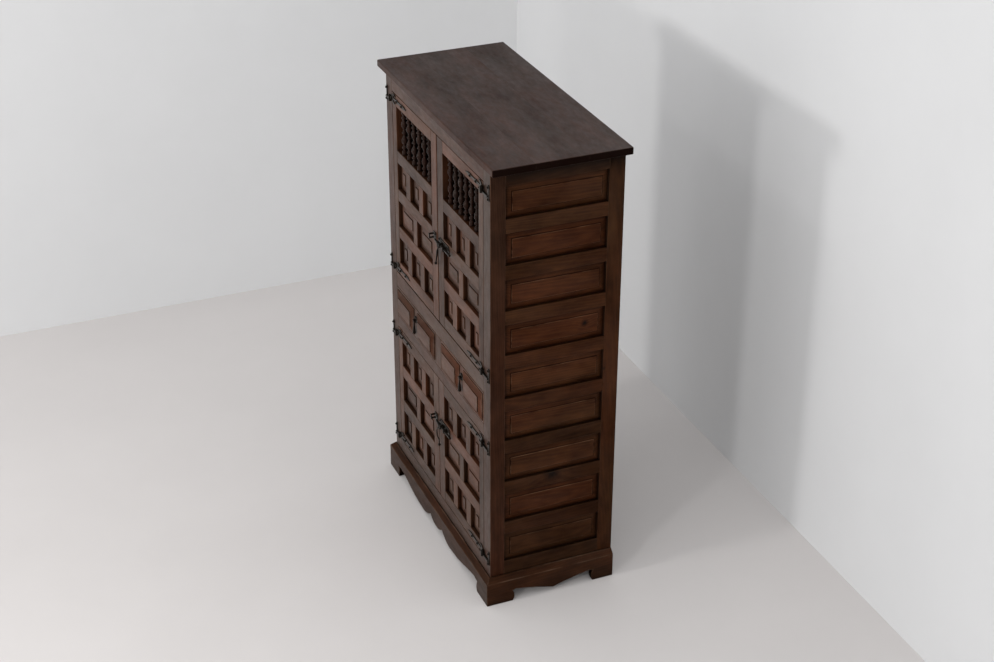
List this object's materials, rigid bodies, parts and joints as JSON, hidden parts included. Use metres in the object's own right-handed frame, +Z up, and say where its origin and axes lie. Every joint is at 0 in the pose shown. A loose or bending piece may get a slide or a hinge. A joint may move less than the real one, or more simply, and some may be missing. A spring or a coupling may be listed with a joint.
{
  "type": "two-tier cupboard",
  "caption": "Tall panelled pine cupboard with grilled doors above, drawers in the middle, panelled doors below, forged hinges, sliding bolts and a shaped plinth.",
  "frame": {"origin": "On the floor, under the centre of the whole outline: bottom centre of the bounding box.", "axes": "+Z up. The front with the doors faces -Y, the back +Y. +X is to the right when facing the front from outside."},
  "size_m": [1.008, 0.466, 1.6],
  "materials": {
    "stained_pine": "dark walnut stain under worn satin wax",
    "panel_pine": "dark reddish walnut stain under satin wax",
    "top_pine": "dark walnut stain, rubbed to a low sheen",
    "turned_pine": "dark walnut stain, turned",
    "plain_pine": "thin dark stain on planed pine, unwaxed",
    "forged_iron": "hammered and blackened iron, matt"
  },
  "bodies": {
    "carcass": {"back_boards": "plain_pine", "back_post_left": "stained_pine", "back_post_right": "stained_pine", "back_rails": "plain_pine", "cabinet_floor": "plain_pine", "drawer_deck": "plain_pine", "drawer_guides": "plain_pine", "front_post_left": "stained_pine", "front_post_right": "stained_pine", "front_rails": "stained_pine", "hinge_pintles": "forged_iron", "hinge_plate_nails": "forged_iron", "lower_shelf": "plain_pine", "plinth_front": "stained_pine", "plinth_left": "stained_pine", "plinth_right": "stained_pine", "shelf_cleats": "plain_pine", "side_panels_left": "panel_pine", "side_panels_right": "panel_pine", "side_rails_left": "stained_pine", "side_rails_right": "stained_pine", "top_planks": "top_pine", "upper_floor": "plain_pine", "upper_shelf": "plain_pine"},
    "upper_left_door": {"upper_left_door_frame": "stained_pine", "upper_left_door_keeper": "forged_iron", "upper_left_door_nails": "forged_iron", "upper_left_door_panels": "stained_pine", "upper_left_door_spindles": "turned_pine", "upper_left_door_straps": "forged_iron"},
    "upper_right_door": {"upper_right_door_bolt_plate": "forged_iron", "upper_right_door_frame": "stained_pine", "upper_right_door_nails": "forged_iron", "upper_right_door_panels": "stained_pine", "upper_right_door_spindles": "turned_pine", "upper_right_door_straps": "forged_iron"},
    "upper_bolt": {"upper_bolt_bar": "forged_iron"},
    "upper_bolt_drop": {"upper_bolt_drop": "forged_iron"},
    "lower_left_door": {"lower_left_door_frame": "stained_pine", "lower_left_door_keeper": "forged_iron", "lower_left_door_nails": "forged_iron", "lower_left_door_panels": "stained_pine", "lower_left_door_straps": "forged_iron"},
    "lower_right_door": {"lower_right_door_bolt_plate": "forged_iron", "lower_right_door_frame": "stained_pine", "lower_right_door_nails": "forged_iron", "lower_right_door_panels": "stained_pine", "lower_right_door_straps": "forged_iron"},
    "lower_bolt": {"lower_bolt_bar": "forged_iron"},
    "lower_bolt_drop": {"lower_bolt_drop": "forged_iron"},
    "left_drawer": {"left_drawer_front": "stained_pine", "left_drawer_box": "plain_pine", "left_drawer_bottom": "plain_pine", "left_drawer_pull": "forged_iron"},
    "left_drawer_drop": {"left_drawer_drop": "forged_iron"},
    "right_drawer": {"right_drawer_front": "stained_pine", "right_drawer_box": "plain_pine", "right_drawer_bottom": "plain_pine", "right_drawer_pull": "forged_iron"},
    "right_drawer_drop": {"right_drawer_drop": "forged_iron"}
  },
  "joints": [
    {"name": "upper_left_door_hinge", "type": "hinge", "parent": "carcass", "child": "upper_left_door", "pos_m": [-0.402, -0.22, 1.18725], "axis": [0, 0, -1], "range_deg": [0, 160]},
    {"name": "upper_right_door_hinge", "type": "hinge", "parent": "carcass", "child": "upper_right_door", "pos_m": [0.402, -0.22, 1.18725], "axis": [0, 0, 1], "range_deg": [0, 160]},
    {"name": "upper_bolt_slide", "type": "slide", "parent": "upper_right_door", "child": "upper_bolt", "axis": [-1, 0, 0], "range_m": [0, 0.045]},
    {"name": "upper_bolt_drop_swing", "type": "hinge", "parent": "upper_bolt", "child": "upper_bolt_drop", "pos_m": [0.039, -0.2234, 1.1475], "axis": [-1, 0, 0], "range_deg": [0, 100]},
    {"name": "lower_left_door_hinge", "type": "hinge", "parent": "carcass", "child": "lower_left_door", "pos_m": [-0.402, -0.22, 0.38825], "axis": [0, 0, -1], "range_deg": [0, 160]},
    {"name": "lower_right_door_hinge", "type": "hinge", "parent": "carcass", "child": "lower_right_door", "pos_m": [0.402, -0.22, 0.38825], "axis": [0, 0, 1], "range_deg": [0, 160]},
    {"name": "lower_bolt_slide", "type": "slide", "parent": "lower_right_door", "child": "lower_bolt", "axis": [-1, 0, 0], "range_m": [0, 0.045]},
    {"name": "lower_bolt_drop_swing", "type": "hinge", "parent": "lower_bolt", "child": "lower_bolt_drop", "pos_m": [0.02225, -0.2234, 0.449], "axis": [-1, 0, 0], "range_deg": [0, 100]},
    {"name": "left_drawer_slide", "type": "slide", "parent": "carcass", "child": "left_drawer", "axis": [0, -1, 0], "range_m": [0, 0.28]},
    {"name": "left_drawer_drop_swing", "type": "hinge", "parent": "left_drawer", "child": "left_drawer_drop", "pos_m": [-0.2125, -0.2215, 0.747], "axis": [-1, 0, 0], "range_deg": [0, 100]},
    {"name": "right_drawer_slide", "type": "slide", "parent": "carcass", "child": "right_drawer", "axis": [0, -1, 0], "range_m": [0, 0.28]},
    {"name": "right_drawer_drop_swing", "type": "hinge", "parent": "right_drawer", "child": "right_drawer_drop", "pos_m": [0.2125, -0.2215, 0.747], "axis": [-1, 0, 0], "range_deg": [0, 100]}
  ]
}
